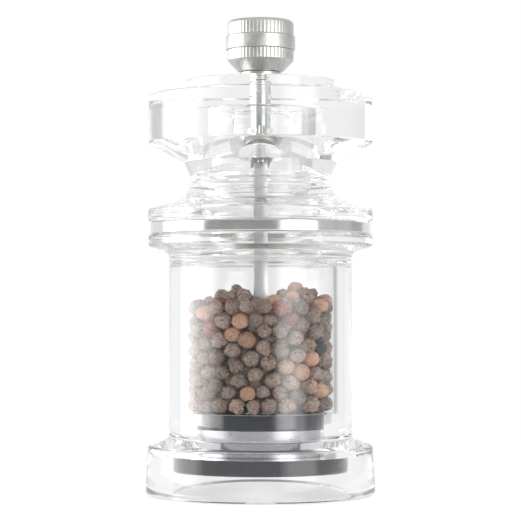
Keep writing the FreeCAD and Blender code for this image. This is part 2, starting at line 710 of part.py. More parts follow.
knob = new_body("knob_body")
revolve(knob, "knob_blank", [
    ("knob_bore", "knob_bottom"),
    ("knob_foot_radius", "knob_bottom", "knob_top_edge"),
    ("knob_radius", "cone_top", "knob_top_edge"),
    ("knob_radius", "band_bottom"),
    ("band_seat_radius", "band_bottom"),
    ("band_seat_radius", "band_top"),
    ("knob_radius", "band_top"),
    ("knob_radius", "knob_edge_height", "knob_top_edge"),
    ("knob_top_radius", "knob_top", "knob_top_edge"),
    ("dish_radius", "knob_top"),
    ("dish_radius - dish_depth", "knob_top - dish_depth"),
    ("0", "knob_top - dish_depth"),
    ("0", "knob_bore_top"),
    ("knob_bore", "knob_bore_top"),
])
flutes = []
for tag, low, high in (
        ("lower", "cone_top - 0.9", "band_bottom"),
        ("upper", "band_top", "knob_top")):
    flutes.append(raise_up(
        knob, "flute_" + tag, low, f"{high} - ({low})",
        lambda sketch: draw_circle(sketch, "flute_offset", "0", "flute_radius"),
        cut=True))
repeat_around(knob, "knob_flutes", flutes, "flute_count")

plain_ring("knob_band", "band_inner", "band_radius", "band_bottom", "band_top", "band_edge")
plain_ring("knob_insert", "insert_bore", "insert_radius", "knob_bottom", "insert_top")

# ---------------------------------------------------------------- write
doc.recompute()
for item in doc.Objects:
    if "Invalid" in item.State or "Error" in item.State:
        raise SystemExit(f"{item.Label} failed: {item.State}")

pieces = [item for item in doc.Objects if item.TypeId == "PartDesign::Body"]
for piece in pieces:
    if piece.Shape.isNull() or not piece.Shape.isValid():
        raise SystemExit(f"{piece.Label} has no valid shape")

os.makedirs("parts", exist_ok=True)
for piece in pieces:
    piece.Shape.exportStep(os.path.join("parts", piece.Label + ".step"))
    box = piece.Shape.BoundBox
    print(f"{piece.Label}: {len(piece.Shape.Solids)} solid(s), "
          f"{piece.Shape.Volume:.1f} mm3, z {box.ZMin:.2f} to {box.ZMax:.2f}")
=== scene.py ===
import math

import bmesh
import bpy
import numpy as np
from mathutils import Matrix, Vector


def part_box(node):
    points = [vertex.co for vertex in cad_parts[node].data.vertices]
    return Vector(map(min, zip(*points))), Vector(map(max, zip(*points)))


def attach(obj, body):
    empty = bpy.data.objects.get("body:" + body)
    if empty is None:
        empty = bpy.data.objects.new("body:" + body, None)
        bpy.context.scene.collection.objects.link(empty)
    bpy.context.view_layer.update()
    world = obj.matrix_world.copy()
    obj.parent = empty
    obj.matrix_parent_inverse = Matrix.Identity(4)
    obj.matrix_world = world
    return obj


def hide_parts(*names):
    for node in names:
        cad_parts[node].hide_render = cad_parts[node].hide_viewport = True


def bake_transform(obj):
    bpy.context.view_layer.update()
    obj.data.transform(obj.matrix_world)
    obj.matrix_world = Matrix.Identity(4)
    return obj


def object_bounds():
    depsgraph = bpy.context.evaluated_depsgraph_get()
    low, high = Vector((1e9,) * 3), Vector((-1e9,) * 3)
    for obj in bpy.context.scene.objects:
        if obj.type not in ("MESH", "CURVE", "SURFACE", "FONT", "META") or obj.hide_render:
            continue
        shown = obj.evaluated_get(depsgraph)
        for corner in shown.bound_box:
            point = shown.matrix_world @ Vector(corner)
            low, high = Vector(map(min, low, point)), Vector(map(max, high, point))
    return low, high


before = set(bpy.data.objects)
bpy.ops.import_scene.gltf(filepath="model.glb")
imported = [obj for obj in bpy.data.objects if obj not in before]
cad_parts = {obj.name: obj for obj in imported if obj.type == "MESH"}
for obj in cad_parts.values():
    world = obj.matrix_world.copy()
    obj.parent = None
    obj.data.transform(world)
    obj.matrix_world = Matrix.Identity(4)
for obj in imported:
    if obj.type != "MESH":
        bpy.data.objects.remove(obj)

cad_low, cad_high = [Vector(corner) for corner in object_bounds()]
MM = 0.001
HEIGHT = cad_high.z - cad_low.z


# ------------------------------------------------------------------ node helpers
class Nodes:
    """A short way to build a material's or the world's nodes."""

    def __init__(self, tree):
        self.tree = tree
        self.column = 0

    def add(self, kind, **settings):
        node = self.tree.nodes.new(kind)
        node.location = (180 * self.column, 0)
        self.column += 1
        for name, value in settings.items():
            setattr(node, name, value)
        return node

    def link(self, source, target):
        self.tree.links.new(source, target)

    def texture_position(self, scale=(1, 1, 1)):
        """Object coordinates, in metres, stretched by scale."""
        place = self.add("ShaderNodeTexCoord")
        mapping = self.add("ShaderNodeMapping")
        mapping.inputs["Scale"].default_value = scale
        self.link(place.outputs["Object"], mapping.inputs["Vector"])
        return mapping.outputs["Vector"]

    def noise(self, vector, scale, detail, roughness):
        node = self.add("ShaderNodeTexNoise")
        node.inputs["Scale"].default_value = scale
        node.inputs["Detail"].default_value = detail
        node.inputs["Roughness"].default_value = roughness
        self.link(vector, node.inputs["Vector"])
        return node.outputs["Fac"]

    def spread(self, value, low, high, from_low=0.3, from_high=0.7):
        """The value's range from_low..from_high moved to low..high."""
        node = self.add("ShaderNodeMapRange")
        node.inputs["From Min"].default_value = from_low
        node.inputs["From Max"].default_value = from_high
        node.inputs["To Min"].default_value = low
        node.inputs["To Max"].default_value = high
        self.link(value, node.inputs["Value"])
        return node.outputs["Result"]

    def ramp(self, value, stops):
        """Colours blended evenly between stops of (position, colour)."""
        node = self.add("ShaderNodeValToRGB")
        elements = node.color_ramp.elements
        while len(elements) < len(stops):
            elements.new(0.5)
        for element, (position, colour) in zip(elements, stops):
            element.position = position
            element.color = (*colour, 1.0)
        self.link(value, node.inputs["Fac"])
        return node.outputs["Color"]

    def bump(self, height, strength, distance, below=None):
        """Surface relief, laid over the relief below if there is one."""
        node = self.add("ShaderNodeBump")
        node.inputs["Strength"].default_value = strength
        node.inputs["Distance"].default_value = distance
        self.link(height, node.inputs["Height"])
        if below is not None:
            self.link(below, node.inputs["Normal"])
        return node.outputs["Normal"]


def grey(level):
    return (level,) * 3


def new_material(name):
    """A material, its nodes and its Principled shader."""
    material = bpy.data.materials.new(name)
    material.use_nodes = True
    nodes = Nodes(material.node_tree)
    shader = material.node_tree.nodes["Principled BSDF"]
    return material, nodes, shader


# ------------------------------------------------------------------ materials
def acrylic(name, smooth, rough):
    """Clear cast acrylic with faint polishing waves, its roughness between smooth and rough."""
    material, nodes, shader = new_material(name)
    shader.inputs["Base Color"].default_value = (0.955, 0.962, 0.960, 1)
    shader.inputs["Transmission Weight"].default_value = 1.0
    shader.inputs["IOR"].default_value = 1.49
    vector = nodes.texture_position()
    rubbed = nodes.noise(vector, scale=55.0, detail=4.0, roughness=0.6)
    nodes.link(nodes.spread(rubbed, smooth, rough, 0.45, 0.75), shader.inputs["Roughness"])
    waves = nodes.noise(vector, scale=90.0, detail=1.0, roughness=0.4)
    nodes.link(nodes.bump(waves, strength=0.012, distance=0.0006), shader.inputs["Normal"])
    return material


def steel(name, colour, roughness, grain, grain_strength, spots=0.0):
    """Metal with a fine turned or ground grain and uneven polish, darker in patches by spots."""
    material, nodes, shader = new_material(name)
    shader.inputs["Metallic"].default_value = 1.0
    vector = nodes.texture_position()
    patches = nodes.noise(vector, scale=260.0, detail=4.0, roughness=0.6)
    dark = tuple(channel * (0.86 - spots) for channel in colour)
    nodes.link(nodes.ramp(patches, [(0.25, dark), (0.75, colour)]),
               shader.inputs["Base Color"])
    nodes.link(nodes.spread(patches, roughness * 0.7, roughness * 1.35),
               shader.inputs["Roughness"])
    lines = nodes.noise(nodes.texture_position(grain), scale=1.0, detail=3.0, roughness=0.7)
    nodes.link(nodes.bump(lines, grain_strength, distance=0.00004), shader.inputs["Normal"])
    return material


def dark_plastic():
    """Moulded dark grey plastic with a fine grain and pale pepper dust."""
    material, nodes, shader = new_material("moulded_dark_plastic")
    vector = nodes.texture_position()
    dust = nodes.noise(vector, scale=420.0, detail=5.0, roughness=0.65)
    nodes.link(
        nodes.ramp(dust, [(0.35, (0.028, 0.030, 0.042)), (0.62, (0.038, 0.040, 0.054)),
                          (0.80, (0.075, 0.074, 0.080))]),
        shader.inputs["Base Color"])
    nodes.link(nodes.spread(dust, 0.07, 0.20), shader.inputs["Roughness"])
    grain = nodes.noise(vector, scale=3800.0, detail=2.0, roughness=0.5)
    nodes.link(nodes.bump(grain, strength=0.04, distance=0.00003), shader.inputs["Normal"])
    return material


def pepper_skin(name, painted_fold_shade, skin, crest, wrinkle, roughness):
    """Dried berry skin: ridges lighter by a painted highlight and folds darker by painted shade,
    each berry a little lighter or darker at random.
    """
    material, nodes, shader = new_material(name)
    vector = nodes.texture_position()
    warp = nodes.add("ShaderNodeTexNoise")
    warp.inputs["Scale"].default_value = 900.0
    nodes.link(vector, warp.inputs["Vector"])
    bent = nodes.add("ShaderNodeMix", data_type="VECTOR")
    bent.inputs["Factor"].default_value = 0.0020
    nodes.link(vector, bent.inputs["A"])
    nodes.link(warp.outputs["Color"], bent.inputs["B"])
    net = nodes.add("ShaderNodeTexVoronoi", feature="DISTANCE_TO_EDGE")
    net.inputs["Scale"].default_value = 780.0
    nodes.link(bent.outputs["Result"], net.inputs["Vector"])
    # Painted highlight: the raised ridges of the net, which the bump below lifts, are mixed towards
    # the pale crest colour.
    ridge = nodes.spread(net.outputs["Distance"], 0.90, 0.0, 0.01, 0.11)
    folds_and_painted_shade = nodes.noise(vector, scale=1300.0, detail=4.0, roughness=0.7)
    # Painted shade: where this noise is low, in the hollows that the bump below sinks, the colour
    # goes dark.
    base = nodes.ramp(folds_and_painted_shade, [(0.36, painted_fold_shade), (0.50, skin)])
    ridge_highlight_mix = nodes.add("ShaderNodeMix", data_type="RGBA")
    ridge_highlight_mix.inputs["B"].default_value = (*crest, 1.0)
    nodes.link(ridge, ridge_highlight_mix.inputs["Factor"])
    nodes.link(base, ridge_highlight_mix.inputs["A"])
    island = nodes.add("ShaderNodeNewGeometry").outputs["Random Per Island"]
    shade = nodes.spread(island, 0.70, 1.30, 0.0, 1.0)
    tinted = nodes.add("ShaderNodeHueSaturation")
    nodes.link(ridge_highlight_mix.outputs["Result"], tinted.inputs["Color"])
    nodes.link(shade, tinted.inputs["Value"])
    nodes.link(tinted.outputs["Color"], shader.inputs["Base Color"])
    nodes.link(nodes.spread(folds_and_painted_shade, roughness, min(roughness + 0.25, 1.0)),
               shader.inputs["Roughness"])
    rough_skin = nodes.bump(folds_and_painted_shade, wrinkle, distance=0.0005)
    ridged_skin = nodes.bump(ridge, wrinkle, distance=0.00025, below=rough_skin)
    nodes.link(ridged_skin, shader.inputs["Normal"])
    return material


CLEAR = acrylic("clear_acrylic_polished", 0.0, 0.030)
WORN = acrylic("clear_acrylic_worn", 0.30, 0.40)
POLISHED = steel("polished_turned_steel", (0.82, 0.81, 0.80), 0.14, (300, 300, 9000), 0.08)
SATIN = steel("satin_knob_steel", (0.70, 0.69, 0.67), 0.36, (300, 300, 9000), 0.06)
BRUSHED = steel("ground_shaft_steel", (0.95, 0.95, 0.96), 0.40, (3000, 3000, 120), 0.10)
GRINDER = steel("hardened_grinder_steel", (0.68, 0.68, 0.72), 0.30, (900, 900, 2600), 0.25, 0.05)
PLATE = steel("stamped_plate_steel", (0.42, 0.42, 0.44), 0.40, (900, 900, 900), 0.15)
SCREWS = steel("plated_screw_steel", (0.68, 0.67, 0.64), 0.24, (1800, 1800, 1800), 0.30)
SPRING = steel("spring_wire_steel", (0.62, 0.62, 0.64), 0.22, (2500, 2500, 2500), 0.25)
BRASS = steel("turned_brass", (0.80, 0.58, 0.26), 0.24, (400, 400, 7000), 0.20, 0.05)
PLASTIC = dark_plastic()
# Each kind's colours: painted shade in the folds, the skin, and a painted highlight on the ridges.
PEPPER_DARK = pepper_skin(
    "peppercorn_dark", (0.150, 0.102, 0.084), (0.640, 0.465, 0.395), (0.97, 0.83, 0.76), 1.0, 0.58)
PEPPER_BROWN = pepper_skin(
    "peppercorn_brown", (0.210, 0.120, 0.090), (0.760, 0.510, 0.400), (0.97, 0.82, 0.71), 1.0, 0.56)
PEPPER_TAN = pepper_skin(
    "peppercorn_tan", (0.52, 0.23, 0.13), (0.82, 0.46, 0.30), (0.93, 0.67, 0.50), 0.35, 0.45)
PEPPER_RED = pepper_skin(
    "peppercorn_red", (0.20, 0.035, 0.035), (0.46, 0.11, 0.10), (0.66, 0.32, 0.27), 0.55, 0.45)
PEPPER_SLATE = pepper_skin(
    "peppercorn_slate", (0.030, 0.036, 0.038), (0.055, 0.064, 0.066), (0.10, 0.12, 0.12), 0.25, 0.30)


# ------------------------------------------------------------------ mesh helpers
ARC_STEP = math.radians(6)


def rounded(corners):
    """Points of a closed outline. A corner is (r, z) or (r, z, rounding), in mm."""
    points = []
    count = len(corners)
    spots = [Vector((c[0], c[1])) for c in corners]
    for i, corner in enumerate(corners):
        here = spots[i]
        if len(corner) == 2:
            points.append((here.x, here.y))
            continue
        back = (spots[i - 1] - here).normalized()
        ahead = (spots[(i + 1) % count] - here).normalized()
        half = back.angle(ahead) / 2
        centre = here + (back + ahead).normalized() * (corner[2] / math.sin(half))
        first = here + back * (corner[2] / math.tan(half)) - centre
        turn = math.pi - 2 * half
        sign = 1 if back.cross(ahead) < 0 else -1
        steps = max(2, math.ceil(turn / ARC_STEP))
        for k in range(steps + 1):
            angle = sign * turn * k / steps
            x = first.x * math.cos(angle) - first.y * math.sin(angle)
            z = first.x * math.sin(angle) + first.y * math.cos(angle)
            points.append((centre.x + x, centre.y + z))
    return points


def finish_mesh(name, bm, material, sharp_angle=28.0):
    """A smooth-shaded object with its real corners kept sharp."""
    bmesh.ops.recalc_face_normals(bm, faces=bm.faces)
    for face in bm.faces:
        face.smooth = True
    for edge in bm.edges:
        edge.smooth = edge.calc_face_angle(0.0) < math.radians(sharp_angle)
    mesh = bpy.data.meshes.new(name)
    bm.to_mesh(mesh)
    bm.free()
    mesh.materials.append(material)
    obj = bpy.data.objects.new(name, mesh)
    bpy.context.scene.collection.objects.link(obj)
    return obj


def turned(radius, height, angle):
    """The point, in metres, at a radius and height in mm and an angle round the axis."""
    return (radius * math.cos(angle) * MM, radius * math.sin(angle) * MM, height * MM)


def skin(bm, rings):
    """Quads between each ring of vertices and the next, and a flat cap on both ends."""
    for lower, upper in zip(rings, rings[1:]):
        for k in range(len(lower)):
            nxt = (k + 1) % len(lower)
            bm.faces.new((lower[k], lower[nxt], upper[nxt], upper[k]))
    bm.faces.new(list(reversed(rings[0])))
    bm.faces.new(rings[-1])


def spun(name, outline, material, segments=256, cuts=None):
    """A solid of revolution. cuts(row, angle) gives a depth to take off the radius."""
    bm = bmesh.new()
    rings = []
    for row, (radius, height) in enumerate(outline):
        if radius < 1e-6:
            rings.append([bm.verts.new((0, 0, height * MM))])
            continue
        ring = []
        for k in range(segments):
            angle = 2 * math.pi * k / segments
            size = radius - (cuts(row, angle) if cuts else 0.0)
            ring.append(bm.verts.new(turned(size, height, angle)))
        rings.append(ring)
    for lower, upper in zip(rings, rings[1:] + rings[:1]):
        for k in range(segments):
            nxt = (k + 1) % segments
            if len(lower) == 1 and len(upper) == 1:
                continue
            if len(lower) == 1:
                bm.faces.new((lower[0], upper[nxt], upper[k]))
            elif len(upper) == 1:
                bm.faces.new((lower[k], lower[nxt], upper[0]))
            else:
                bm.faces.new((lower[k], lower[nxt], upper[nxt], upper[k]))
    return finish_mesh(name, bm, material)


def place(obj, body, slot, *nodes):
    """Puts a piece on its body, in place of the CAD nodes named; its slot is not used."""
    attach(obj, body)
    if nodes:
        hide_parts(*nodes)
    return obj


# ------------------------------------------------------------------ sizes, in mm
# Radii are from the turning axis and heights from the table. Outlines are lists of
# (radius, height) or (radius, height, rounding), as rounded() takes them.
RECESS_RADIUS = 26.05
RECESS_TOP = 11.34
BASE_RADIUS = 34.0
SHOULDER_RADIUS = 33.2
SHOULDER_HEIGHT = 14.2
COLUMN_RADIUS = 27.0
COLUMN_BOTTOM = 16.6
COLUMN_TOP = 71.05
RIM_RADIUS = 33.2
RIM_BOTTOM = 73.0
RIM_TOP = 76.4
LAND_RADIUS = 30.3
LAND_TOP = 79.6
WORN_OUTER = 24.0
WORN_INNER = 17.0
NECK_RADIUS = 14.8
NECK_TOP = 88.2
MOUTH_RADIUS = 12.5
MOUTH_BOTTOM = 71.2
HOPPER_RADIUS = 21.8
HOPPER_TOP = 69.8
HOPPER_BOTTOM = 24.0
GRINDER_BORE = 19.0

SOCKET_RADIUS = 15.2
SOCKET_TOP = 90.2
SHOULDER_STEP_RADIUS = 14.6
SHOULDER_STEP = 92.0
HEAD_BOTTOM = 80.05
HEAD_RIM_TOP = 83.95
CAP_RADIUS = 33.1
CAP_BOTTOM = 103.5
CAP_TOP = 117.6
DISC_RADIUS = 23.6
DISC_TOP = 121.8
CROWN_RADIUS = 6.75
CROWN_TOP = 122.0
SHAFT_HOLE = 2.25
PIT_RADIUS = 3.1
PIT_TOP = 107.4
BOSS_RADIUS = 8.4
BOSS_BOTTOM = 105.0
HOLLOW_RADIUS = 13.2
HOLLOW_TOP = 113.4
HOLLOW_BOTTOM = 93.6

COLLAR_INNER = 30.35
COLLAR_OUTER = 32.6
COLLAR_TOP = 80.0

KNOB_BOTTOM = 124.8
KNOB_TOP = 140.0
KNOB_FOOT_RADIUS = 6.6
INSERT_RADIUS = 3.25
INSERT_TOP = 136.0
FLUTED_RADIUS = 9.85
WAIST_RADIUS = 9.0
BAND_RADIUS = 10.3
BAND_BOTTOM = 131.3
BAND_TOP = 135.4
FLUTES = 60
FLUTE_DEPTH = 0.07
FLUTE_FULLNESS = 0.7
STEPS_PER_FLUTE = 10

# ------------------------------------------------------------------ clear pieces
clear_body = spun("clear_body_polished", rounded([
    (RECESS_RADIUS, 0.0, 0.15), (BASE_RADIUS, 0.0, 0.8), (SHOULDER_RADIUS, SHOULDER_HEIGHT, 1.0),
    (COLUMN_RADIUS, COLUMN_BOTTOM, 0.9), (COLUMN_RADIUS, COLUMN_TOP, 2.6),
    (RIM_RADIUS, RIM_BOTTOM, 0.9), (RIM_RADIUS, RIM_TOP, 0.7), (LAND_RADIUS, RIM_TOP),
    (LAND_RADIUS, LAND_TOP, 0.45), (WORN_OUTER, LAND_TOP), (WORN_INNER, LAND_TOP),
    (NECK_RADIUS, LAND_TOP), (NECK_RADIUS, NECK_TOP, 0.5), (MOUTH_RADIUS, NECK_TOP, 0.5),
    (MOUTH_RADIUS, MOUTH_BOTTOM, 0.7), (HOPPER_RADIUS, HOPPER_TOP, 4.0),
    (HOPPER_RADIUS, HOPPER_BOTTOM), (GRINDER_BORE, HOPPER_BOTTOM), (GRINDER_BORE, RECESS_TOP),
    (RECESS_RADIUS, RECESS_TOP)]), CLEAR)

# The head runs on the body's upper face, which is rubbed there.
clear_body.data.materials.append(WORN)
for polygon in clear_body.data.polygons:
    radius = math.hypot(polygon.center.x, polygon.center.y) / MM
    on_land = abs(polygon.center.z / MM - LAND_TOP) < 0.01
    if on_land and WORN_INNER < radius < WORN_OUTER:
        polygon.material_index = 1
place(clear_body, "base", "clear_acrylic", "clear_body")

turning_head = spun("turning_head_polished", rounded([
    (SOCKET_RADIUS, HEAD_BOTTOM, 0.15), (RIM_RADIUS, HEAD_BOTTOM, 1.0),
    (RIM_RADIUS, HEAD_RIM_TOP, 0.8), (21.4, 87.3, 6.4), (20.6, 93.4, 5.0), (22.7, 97.8, 0.8),
    (CAP_RADIUS, CAP_BOTTOM, 0.7), (CAP_RADIUS, CAP_TOP, 0.7), (DISC_RADIUS, CAP_TOP),
    (DISC_RADIUS, DISC_TOP, 0.6), (CROWN_RADIUS, CROWN_TOP), (SHAFT_HOLE, CROWN_TOP, 0.15),
    (SHAFT_HOLE, PIT_TOP), (PIT_RADIUS, PIT_TOP), (PIT_RADIUS, BOSS_BOTTOM),
    (BOSS_RADIUS, BOSS_BOTTOM, 0.4), (BOSS_RADIUS, HOLLOW_TOP, 0.8),
    (HOLLOW_RADIUS, HOLLOW_TOP, 0.8), (HOLLOW_RADIUS, HOLLOW_BOTTOM, 1.0),
    (SHOULDER_STEP_RADIUS, SHOULDER_STEP), (SOCKET_RADIUS, SOCKET_TOP)]), CLEAR)
place(turning_head, "head", "clear_acrylic", "turning_head")

# ------------------------------------------------------------------ ring and knob
collar = spun("collar_ring_polished", rounded([
    (COLLAR_INNER, RIM_TOP, 0.1), (COLLAR_OUTER, RIM_TOP, 0.55),
    (COLLAR_OUTER, COLLAR_TOP, 0.55), (COLLAR_INNER, COLLAR_TOP, 0.1)]), POLISHED)
place(collar, "base", "polished_steel", "collar_ring")

# Rows of the knob's outline: radius, height and share of the flutes' depth.
insert_hole = [(radius, height, 0.0) for radius, height in rounded([
    (0.0, INSERT_TOP), (INSERT_RADIUS, INSERT_TOP), (INSERT_RADIUS, KNOB_BOTTOM, 0.12),
    (KNOB_FOOT_RADIUS, KNOB_BOTTOM, 0.3)])[:-1]]
cone = [(6.85, 125.0, 0.0), (WAIST_RADIUS, 127.28, 0.0)]
lower_flutes = [
    (9.55, 127.86, 0.35), (9.82, 128.22, 0.9), (FLUTED_RADIUS, 128.5, 1.0),
    (FLUTED_RADIUS, 131.15, 1.0), (9.72, 131.29, 1.0), (WAIST_RADIUS, BAND_BOTTOM, 0.0)]
upper_flutes = [
    (WAIST_RADIUS, BAND_TOP, 0.0), (9.72, 135.41, 1.0), (FLUTED_RADIUS, 135.55, 1.0),
    (FLUTED_RADIUS, 139.0, 1.0), (9.72, 139.35, 0.9), (9.38, 139.7, 0.45), (9.05, 139.94, 0.0)]
dished_top = [
    (8.75, KNOB_TOP, 0.0), (7.62, KNOB_TOP, 0.0), (7.5, 139.93, 0.0), (7.25, 139.68, 0.0),
    (7.1, 139.65, 0.0), (3.0, 139.63, 0.0), (0.0, 139.62, 0.0)]
knob_rows = insert_hole + cone + lower_flutes + upper_flutes + dished_top


def flute(row, angle):
    """Rounded vertical flutes with narrow crests between them."""
    place_in_flute = (angle * FLUTES / (2 * math.pi)) % 1.0
    hollow = math.sin(math.pi * place_in_flute) ** FLUTE_FULLNESS
    return FLUTE_DEPTH * hollow * knob_rows[row][2]


knob = spun("knob_fluted", [row[:2] for row in knob_rows], SATIN,
            segments=FLUTES * STEPS_PER_FLUTE, cuts=flute)
place(knob, "knob", "polished_steel", "knob_body")

band = spun("knob_band_polished", rounded([
    (9.03, BAND_BOTTOM), (BAND_RADIUS, BAND_BOTTOM, 0.3), (BAND_RADIUS, BAND_TOP, 0.3),
    (9.03, BAND_TOP)]), SATIN)
place(band, "knob", "polished_steel", "knob_band")

washer = spun("knob_foot_polished", rounded([
    (SHAFT_HOLE, 122.05), (6.1, 122.05, 0.35), (6.1, 124.75, 0.35), (SHAFT_HOLE, 124.75)]),
    SATIN, segments=96)
place(washer, "knob_foot", "polished_steel", "knob_washer")


# ------------------------------------------------------------------ shaft
SHAFT_TURN = math.radians(4.0)
SHAFT_HALF = 2.0
SHAFT_EASE = 0.22
END_HALF = 1.85
END_EASE = 0.2
END_CHAMFER = 0.15
SQUARE_BOTTOM = 9.1
SQUARE_TOP = 105.9
SHAFT_TOP = 134.0
PIVOT = ((1.5, 7.0), (1.9, 7.4), (1.9, 9.15))
ROUND_OVERLAP = 0.05
THREAD_START = 117.0
THREAD_FADE_IN = 0.8
THREAD_FADE_OUT = 0.45
TIP_EASE = 0.35
TIP_LENGTH = 0.4
THREAD_RADIUS = 1.95
THREAD_DEPTH = 0.24
THREAD_PITCH = 0.7
RINGS_PER_PITCH = 6
ROUND_SIDES = 24


def square_ring(bm, half, ease, height):
    """One ring of the square shaft: half its width, its corners eased by a radius."""
    middle = half - ease
    ring = []
    for quarter in range(4):
        side = math.radians(90 * quarter + 45)
        for step in range(3):
            corner = math.radians(90 * quarter + 45 * step)
            x = math.copysign(middle, math.cos(side)) + ease * math.cos(corner)
            y = math.copysign(middle, math.sin(side)) + ease * math.sin(corner)
            ring.append(bm.verts.new((
                (x * math.cos(SHAFT_TURN) - y * math.sin(SHAFT_TURN)) * MM,
                (x * math.sin(SHAFT_TURN) + y * math.cos(SHAFT_TURN)) * MM, height * MM)))
    return ring


def thread_radius(height, share_of_turn):
    """Radius of the screwed end, whose grooves fade out at both ends and whose tip is eased."""
    to_tip = SHAFT_TOP - height
    from_start = height - THREAD_START
    fade = max(0.0, min(1.0, to_tip / THREAD_FADE_OUT, from_start / THREAD_FADE_IN))
    phase = (height / THREAD_PITCH - share_of_turn) % 1.0
    groove = THREAD_DEPTH * abs(2 * phase - 1) * fade
    return THREAD_RADIUS - groove - TIP_EASE * (1 - min(1.0, to_tip / TIP_LENGTH))


def shaft_mesh():
    """Square shaft with eased edges, a lower pivot and a screwed upper end."""
    bm = bmesh.new()
    skin(bm, [
        square_ring(bm, END_HALF, END_EASE, SQUARE_BOTTOM),
        square_ring(bm, SHAFT_HALF, SHAFT_EASE, SQUARE_BOTTOM + END_CHAMFER),
        square_ring(bm, SHAFT_HALF, SHAFT_EASE, SQUARE_TOP - END_CHAMFER),
        square_ring(bm, END_HALF, END_EASE, SQUARE_TOP)])
    round_angles = [2 * math.pi * k / ROUND_SIDES for k in range(ROUND_SIDES)]
    skin(bm, [
        [bm.verts.new(turned(radius, height, angle)) for angle in round_angles]
        for radius, height in PIVOT])
    rings = []
    height = SQUARE_TOP - ROUND_OVERLAP
    while height < SHAFT_TOP:
        rings.append([
            bm.verts.new(turned(thread_radius(height, k / ROUND_SIDES), height, angle))
            for k, angle in enumerate(round_angles)])
        height += THREAD_PITCH / RINGS_PER_PITCH
    skin(bm, rings)
    return finish_mesh("drive_shaft_threaded", bm, BRUSHED, sharp_angle=35)


place(shaft_mesh(), "drive", "shaft_steel", "drive_shaft")


# ------------------------------------------------------------------ spring
COIL_RADIUS = 3.9
WIRE_RADIUS = 0.45
COIL_TURNS = 4
STEPS_PER_TURN = 40
WIRE_SIDES = 14


def spring_mesh():
    """Coil of round wire that fills the CAD spring's height, with its two end heights."""
    low, high = [corner[2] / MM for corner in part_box("grinder_spring")]
    rise = high - low - 2 * WIRE_RADIUS
    steps = STEPS_PER_TURN * COIL_TURNS
    bm = bmesh.new()
    rings = []
    for step in range(steps + 1):
        along = step / steps
        angle = 2 * math.pi * COIL_TURNS * along
        ring = []
        for side in range(WIRE_SIDES):
            around = 2 * math.pi * side / WIRE_SIDES
            radius = COIL_RADIUS + WIRE_RADIUS * math.cos(around)
            height = low + WIRE_RADIUS + rise * along + WIRE_RADIUS * math.sin(around)
            ring.append(bm.verts.new(turned(radius, height, angle)))
        rings.append(ring)
    skin(bm, rings)
    obj = finish_mesh("grinder_spring_coil", bm, SPRING, sharp_angle=50)
    return obj, low * MM, high * MM


spring, spring_low, spring_high = spring_mesh()
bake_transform(spring)
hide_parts("grinder_spring")


# ------------------------------------------------------------------ peppercorns
CORNS = 565
CORN_MEAN = 2.52
CORN_SPREAD = 0.20
CORN_SMALLEST = 2.05
CORN_LARGEST = 2.95
FILL_WALL = 21.7
FILL_FLOOR = 24.05
FILL_CORE = 2.6
FILL_LEVEL = 56.9
# Mounds on the fill: centre across, height and spread.
MOUNDS = ((-7.5, 5.6, 50), (11.0, 5.9, 60))
DROP_MARGIN = 3
DROP_HEIGHT = 42
SETTLE_STEPS = 600
SLOW_AFTER = 450
SINK_FAST = 0.06
SINK_SLOW = 0.012
LEVEL_AFTER = 200
LEVELLING = 0.25
STEPS_PER_SEARCH = 6
NEAR = 7.0
PUSHES_PER_STEP = 2
PUSH = 0.42
CLOSENESS = 0.985
TINY = 1e-9
FOLDS = 26
FOLD_REACH = 0.55
FOLD_WIDTH = 0.10
FOLD_DEPTHS = (0.03, 0.12)
STRETCHES = (0.94, 1.03)


def crest(points):
    """Height the fill may reach: two mounds with a dip at the shaft."""
    mounds = [
        height * np.exp(-((points[:, 0] - across) ** 2 + points[:, 1] ** 2) / spread)
        for across, height, spread in MOUNDS]
    return FILL_LEVEL + mounds[0] + mounds[1]


def settled_fill():
    """Centres and radii of peppercorns that sink in the hopper and push each other apart."""
    rng = np.random.default_rng(7)
    radii = rng.normal(CORN_MEAN, CORN_SPREAD, CORNS).clip(CORN_SMALLEST, CORN_LARGEST)
    angle = rng.uniform(0, 2 * np.pi, CORNS)
    out = np.sqrt(rng.uniform(0.05, 1.0, CORNS)) * (FILL_WALL - DROP_MARGIN)
    centres = np.stack([
        out * np.cos(angle), out * np.sin(angle),
        FILL_FLOOR + DROP_MARGIN + rng.uniform(0, 1, CORNS) * DROP_HEIGHT], axis=1)

    for step in range(SETTLE_STEPS):
        centres[:, 2] -= SINK_FAST if step < SLOW_AFTER else SINK_SLOW
        if step % STEPS_PER_SEARCH == 0:
            gap = centres[:, None, :] - centres[None, :, :]
            one, other = np.nonzero(np.triu((gap ** 2).sum(-1) < NEAR ** 2, 1))
            touching = (radii[one] + radii[other]) * CLOSENESS
        for _ in range(PUSHES_PER_STEP):
            gap = centres[one] - centres[other]
            apart = np.sqrt((gap ** 2).sum(-1)) + TINY
            push = gap * (np.maximum(touching - apart, 0) * PUSH / apart)[:, None]
            for axis in range(3):
                centres[:, axis] += np.bincount(one, push[:, axis], CORNS)
                centres[:, axis] -= np.bincount(other, push[:, axis], CORNS)
            flat = np.hypot(centres[:, 0], centres[:, 1]) + TINY
            scale = np.where(flat > FILL_WALL - radii, (FILL_WALL - radii) / flat, 1.0)
            centres[:, :2] *= scale[:, None]
            scale = np.where(flat < FILL_CORE + radii, (FILL_CORE + radii) / flat, 1.0)
            centres[:, :2] *= scale[:, None]
            centres[:, 2] = np.maximum(centres[:, 2], FILL_FLOOR + radii)
            if step > LEVEL_AFTER:
                roof = crest(centres) - radii
                above = centres[:, 2] > roof
                centres[above, 2] -= (centres[above, 2] - roof[above]) * LEVELLING
    return centres, radii


